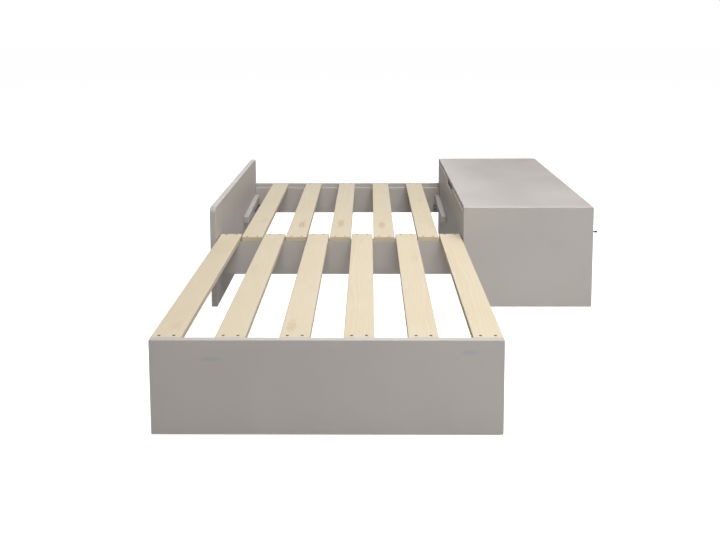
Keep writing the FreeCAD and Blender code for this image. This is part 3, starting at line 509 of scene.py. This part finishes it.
screw_steel = metal("dull screw steel", (0.030, 0.033, 0.040), (0.075, 0.080, 0.095), 0.55,
                    (900, 900, 900), 0.5)
knob_metal = metal("dark satin metal", (0.030, 0.029, 0.028), (0.055, 0.053, 0.051), 0.36,
                   (120, 2500, 2500), 0.7)
hinge_steel = metal("nickelled steel", (0.46, 0.45, 0.43), (0.60, 0.59, 0.57), 0.3, (1500, 1500, 80))
zinc_steel = metal("zinc plated steel", (0.42, 0.43, 0.45), (0.62, 0.63, 0.66), 0.38, (700, 700, 700))


# %% Plastics
def plastic(name, dark, light, rough):
    """Moulded plastic with a fine even grain."""
    material, tree, shader, where = new_material(name, Specular_IOR_Level=0.45)
    tone = place_group(tree, clouds, Vector=where, Size=0.02, Speck=0.0009)
    # Rims painted lighter where the edge weight is high: a painted highlight with a little wear.
    wear_and_highlight = place_group(tree, lit_worn_edges, Vector=where, Amount=0.5)["Mask"]
    colour = blend_colours(tree, tone["Tone"], dark, light)
    tree.links.new(blend_colours(tree, wear_and_highlight, colour, np.array(light) * 1.5), shader.inputs["Base Color"])
    tree.links.new(ramp(tree, tone["Tone"], 0, 1, rough, rough + 0.1), shader.inputs["Roughness"])
    bump(tree, shader, tone["Speckle"], 0.00003)
    return material


wheel_plastic = plastic("dark wheel plastic", (0.022, 0.022, 0.024), (0.034, 0.034, 0.036), 0.5)
tyre_rubber = plastic("grey tyre rubber", (0.11, 0.11, 0.112), (0.14, 0.14, 0.142), 0.72)
pad_plastic = plastic("pale pad plastic", (0.62, 0.60, 0.55), (0.70, 0.68, 0.63), 0.45)
finish_of = {
    "lacquered_board": board_lacquer, "slat_pine": slat_pine, "hidden_timber": rough_pine,
    "screw_steel": screw_steel, "knob_metal": knob_metal, "hinge_steel": hinge_steel,
    "bracket_steel": zinc_steel, "wheel_plastic": wheel_plastic, "pad_plastic": pad_plastic}
for name, piece in nodes.items():
    piece.data.materials.clear()
    piece.data.materials.append(finish_of[slot_of[name]])
print(len(finish_of), "finishes on", len(nodes), "pieces")

# %% [markdown]
# ## Surfaces from numbers
# A new piece is a grid of points: one parameter goes round the piece and the other along it.
# The whole grid is computed as arrays.  `to_mesh` joins each point to its neighbours, closes the
# grid round, and closes the two ends with a face each, or with one another on a ring.
# %% Grid to mesh
def to_mesh(name, grid, edge, normals=None, ring=False, sharp=40.0):
    """An object from a closed grid of points, with the rim weights as its edge attribute."""
    rows, count = grid.shape[:2]
    index = np.arange(rows * count).reshape(rows, count)
    first, following = (index, np.roll(index, -1, 0)) if ring else (index[:-1], index[1:])
    quads = np.stack((first, np.roll(first, -1, 1), np.roll(following, -1, 1), following), -1)
    faces = quads.reshape(-1, 4).tolist()
    if not ring:
        faces += [index[0, ::-1].tolist(), index[-1].tolist()]
    mesh = bpy.data.meshes.new(name)
    mesh.from_pydata(grid.reshape(-1, 3).tolist(), [], faces)
    mesh.polygons.foreach_set("use_smooth", np.ones(len(faces), bool))
    if normals is None:
        mesh.set_sharp_from_angle(angle=math.radians(sharp))
    else:
        mesh.normals_split_custom_set_from_vertices(normals.reshape(-1, 3).tolist())
    weights = mesh.attributes.new("edge", "FLOAT", "POINT")
    weights.data.foreach_set("value", np.broadcast_to(edge, (rows, count)).astype(np.float32).ravel())
    made = bpy.data.objects.new(name, mesh)
    scene.collection.objects.link(made)
    return made


def stand_for(piece, node, material):
    """The piece takes a measured node's place: its body and a finish."""
    piece.data.materials.append(material)
    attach(piece, body_of[node])
    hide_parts(node)


# %% [markdown]
# A lacquered board is cut from fibreboard, and its edges are rounded before it is sprayed.
# So a board is an outline whose corners are arcs, carried through the board's thickness while
# its two rims turn over like quarter circles.  Because the outline is free, the same function
# makes plain boards, the end board with its large corners, and the side with the finger notch.
# The rims keep a weight that the lacquer reads to paint its edges lighter: a painted highlight with a little
# wear.
# %% Outlines and boards
RIM = 0.0025
CORNER = 0.0031
SMALL_CORNER = 0.006
ACROSS = ((1, 2), (2, 0), (0, 1))


def rounded(corners, radii, steps=8):
    """Points, outward normals and rim weights of an outline that runs anticlockwise.

    At each corner the normal turns evenly from one side's to the next's, and the point is the
    arc's centre plus radius times the normal, or minus it at an inner corner.  A corner of a
    radius under SMALL_CORNER is a rim too.
    """
    corners = np.asarray(corners, float)
    parts = []
    for corner, before, after, radius in zip(corners, np.roll(corners, 1, 0), np.roll(corners, -1, 0), radii):
        arriving = (corner - before) / np.linalg.norm(corner - before)
        leaving = (after - corner) / np.linalg.norm(after - corner)
        turn = math.atan2(arriving[0] * leaving[1] - arriving[1] * leaving[0], arriving @ leaving)
        side = np.array((arriving[1], -arriving[0]))
        bend = math.copysign(1, turn)
        centre = corner - arriving * radius * math.tan(abs(turn) / 2) - bend * radius * side
        angle = np.linspace(0, turn, steps)
        normal = np.stack((side[0] * np.cos(angle) - side[1] * np.sin(angle),
                           side[0] * np.sin(angle) + side[1] * np.cos(angle)), 1)
        weight = np.sin(np.linspace(0, np.pi, steps)) * (radius < SMALL_CORNER)
        parts.append((centre + bend * radius * normal, normal, weight))
    return [np.concatenate(part) for part in zip(*parts)]


def board(name, node, axis, outline, rim=RIM, steps=7):
    """A board: an outline carried along an axis, with both rims rounded.

    While a rim's angle goes from 0 to 90 degrees, the outline lies inside its full size by
    rim times (1 - sine), and inside the board's face by rim times (1 - cosine).
    """
    points, normals, weights = outline
    low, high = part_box(node)
    angle = np.linspace(0, np.pi / 2, steps)
    inset = rim * (1 - np.sin(angle))
    depth = rim * (1 - np.cos(angle))
    level = np.concatenate((low[axis] + depth, high[axis] - depth[::-1]))
    inset, out = (np.concatenate((part, part[::-1])) for part in (inset, np.sin(angle)))
    lean = np.concatenate((-np.cos(angle), np.cos(angle[::-1])))
    turned_over = np.sin(2 * np.concatenate((angle, angle[::-1])))
    first, second = ACROSS[axis]
    grid = np.empty((2 * steps, len(points), 3))
    facing = np.empty_like(grid)
    flat = points - normals * inset[:, None, None]
    grid[..., first], grid[..., second], grid[..., axis] = flat[..., 0], flat[..., 1], level[:, None]
    facing[..., first], facing[..., second] = normals[:, 0] * out[:, None], normals[:, 1] * out[:, None]
    facing[..., axis] = lean[:, None]
    edge = np.maximum(np.abs(turned_over)[:, None], weights * out[:, None])
    return to_mesh(name, grid, edge, facing)


def plain_outline(node, axis, radii=(CORNER,) * 4):
    """The rectangle of a node's box seen along an axis."""
    low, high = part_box(node)
    first, second = ACROSS[axis]
    a, b, c, d = low[first], low[second], high[first], high[second]
    return rounded([(a, b), (c, b), (c, d), (a, d)], radii)


# %% Make the boards
BOARDS = {"front_panel": 1, "chest_front_panel": 1, "chest_rear_panel": 1, "back_panel": 1, "slat_ledge": 1,
          "lid": 2, "chest_floor": 2, "front_door": 0, "rear_door": 0, "plinth_rail": 0, "top_rail": 0}
for node, axis in BOARDS.items():
    finish = front_lacquer if node in ("front_panel", "chest_front_panel") else board_lacquer
    stand_for(board(node + "_board", node, axis, plain_outline(node, axis)), node, finish)

END_CORNER = 0.021
stand_for(board("end_panel_board", "end_panel", 0,
                plain_outline("end_panel", 0, (CORNER, CORNER, END_CORNER, END_CORNER))),
          "end_panel", board_lacquer)

BATTEN_TALL = 0.030
for node in ("support_batten_left", "support_batten_right"):
    low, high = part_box(node)
    slope = rounded([(low.y, low.z), (high.y, high.z - BATTEN_TALL), (high.y, high.z),
                     (low.y, low.z + BATTEN_TALL)], (CORNER,) * 4)
    stand_for(board(node + "_strip", node, 0, slope), node, board_lacquer)

NOTCH_MOUTH, NOTCH_FOOT, NOTCH_DEEP, NOTCH_ROUND = 0.120, 0.100, 0.023, 0.009
SIDE_RIM, SIDE_CORNER = 0.00125, 0.0016
low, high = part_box("chest_side_panel")
middle = (low.y + high.y) / 2
notched = rounded(
    [(low.y, low.z), (high.y, low.z), (high.y, high.z), (middle + NOTCH_MOUTH, high.z),
     (middle + NOTCH_FOOT, high.z - NOTCH_DEEP), (middle - NOTCH_FOOT, high.z - NOTCH_DEEP),
     (middle - NOTCH_MOUTH, high.z), (low.y, high.z)],
    (SIDE_CORNER,) * 4 + (NOTCH_ROUND,) * 2 + (SIDE_CORNER,) * 2)
side = board("chest_side_board", "chest_side_panel", 0, notched, SIDE_RIM)
stand_for(side, "chest_side_panel", board_lacquer)

# %% [markdown]
# ## Turned and moulded pieces
# A knob is turned on a lathe, so it is a profile carried round an axis.  Its radius is the stem
# plus a flare at the foot that fades like a bell curve, plus a swelling near the end, and the
# end closes like a quarter circle onto a small flat face.
# %% Turn the knobs
STEM, FOOT_FLARE, SWELLING = 0.0025, 0.0035, 0.0011
FOOT_LONG, FOOT_FADE = 0.0012, 0.002
SWELL_FROM, SWELL_OVER = 0.020, 0.005
ROUND_END, END_FLAT = 0.0028, 0.25
AROUND = 48


def turn_knob(node):
    """A knob whose profile is stem + flare * exp(-(x / fade)^2) + swelling * smooth step."""
    low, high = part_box(node)
    reach = high.x - low.x
    end = np.linspace(0, np.pi / 2 * 0.97, 14)
    along = np.concatenate((np.linspace(0, FOOT_LONG, 3),
                            np.linspace(FOOT_LONG + 0.0004, reach - ROUND_END, 44)[:-1],
                            reach - ROUND_END + ROUND_END * np.sin(end)))
    swell = np.clip((along - SWELL_FROM) / SWELL_OVER, 0, 1)
    radius = STEM + FOOT_FLARE * np.exp(-(np.maximum(along - FOOT_LONG, 0) / FOOT_FADE) ** 2)
    radius = radius + SWELLING * swell * swell * (3 - 2 * swell)
    closing = np.clip((along - reach + ROUND_END) / ROUND_END, 0, 1)
    radius = radius * np.where(closing > 0, END_FLAT + (1 - END_FLAT) * np.sqrt(1 - closing ** 2), 1)
    turn = np.linspace(0, 2 * np.pi, AROUND, endpoint=False)
    grid = np.empty((len(along), AROUND, 3))
    grid[..., 0] = low.x + along[:, None]
    grid[..., 1] = (low.y + high.y) / 2 + radius[:, None] * np.cos(turn)
    grid[..., 2] = (low.z + high.z) / 2 + radius[:, None] * np.sin(turn)
    stand_for(to_mesh(node + "_turned", grid, 0.0), node, knob_metal)


for node in ("front_door_knob", "rear_door_knob"):
    turn_knob(node)
print("two knobs turned")

# %% [markdown]
# A castor wheel is a soft grey tyre moulded round a hard dark hub.  Both are rings: a closed
# section carried round the axle.  The tyre's section is a rounded square with two fine grooves
# in its tread, and the hub's sides sink between five spokes.
# %% Mould the castor wheels
TYRE_WALL, HUB_GRIP, HUB_SET_IN = 0.0048, 0.0002, 0.0008
AXLE_HOLE = 0.0031
SPOKES, HUB_HOLLOW = 5, 0.0030
GROOVE_DEEP, GROOVE_PLACE, GROOVE_WIDTH = 0.0005, 0.45, 0.12
SQUARENESS = 0.45


def squared(wave):
    """A cosine or sine pushed towards its ends, which squares a circle."""
    return np.sign(wave) * np.abs(wave) ** SQUARENESS


def mould_ring(name, node, inner, outer, half_width, relief, around=96, section=40):
    """A ring round a node's axle; relief(across, out, turn) is how deep its skin is sunk."""
    low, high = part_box(node)
    turn = np.linspace(0, 2 * np.pi, around, endpoint=False)[None, :]
    roll = np.linspace(0, 2 * np.pi, section, endpoint=False)[:, None]
    across, out = squared(np.cos(roll)), squared(np.sin(roll))
    width, height = relief(across, out, turn)
    radius = (inner + outer) / 2 + out * ((outer - inner) / 2 - height)
    grid = np.empty((section, around, 3))
    grid[..., 0] = (low.x + high.x) / 2 + across * (half_width - width)
    grid[..., 1] = (low.y + high.y) / 2 - radius * np.cos(turn)
    grid[..., 2] = (low.z + high.z) / 2 + radius * np.sin(turn)
    # The section's corners carry the edge weight, which the plastics paint lighter: a painted highlight with
    # a little wear.
    return to_mesh(name, grid, np.abs(np.sin(2 * roll)) ** 3, ring=True, sharp=60.0)


def tyre_relief(across, out, turn):
    """Two grooves in the tread, one on each side of its middle."""
    groove = GROOVE_DEEP * np.exp(-((np.abs(across) - GROOVE_PLACE) / GROOVE_WIDTH) ** 2) * (out > 0.9)
    return 0.0 * turn, groove + 0.0 * turn


def hub_relief(across, out, turn):
    """Sides that sink between the spokes and stay full at the axle and at the tyre."""
    between = np.clip(0.5 - 0.9 * np.cos(SPOKES * turn), 0, 1)
    return HUB_HOLLOW * between * np.clip(1.2 - 1.4 * np.abs(out), 0, 1), 0.0 * across * turn


for side in ("left", "right"):
    node = f"castor_wheel_{side}"
    low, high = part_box(node)
    full, half_width = (high.z - low.z) / 2, (high.x - low.x) / 2
    tyre = mould_ring(f"castor_tyre_{side}", node, full - TYRE_WALL, full, half_width, tyre_relief)
    stand_for(tyre, node, tyre_rubber)
    hub = mould_ring(f"castor_hub_{side}", node, AXLE_HOLE, full - TYRE_WALL + HUB_GRIP,
                     half_width - HUB_SET_IN, hub_relief)
    hub.data.materials.append(wheel_plastic)
    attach(hub, body_of[node])
print("castors: tyre wall", TYRE_WALL, "m,", SPOKES, "spokes")
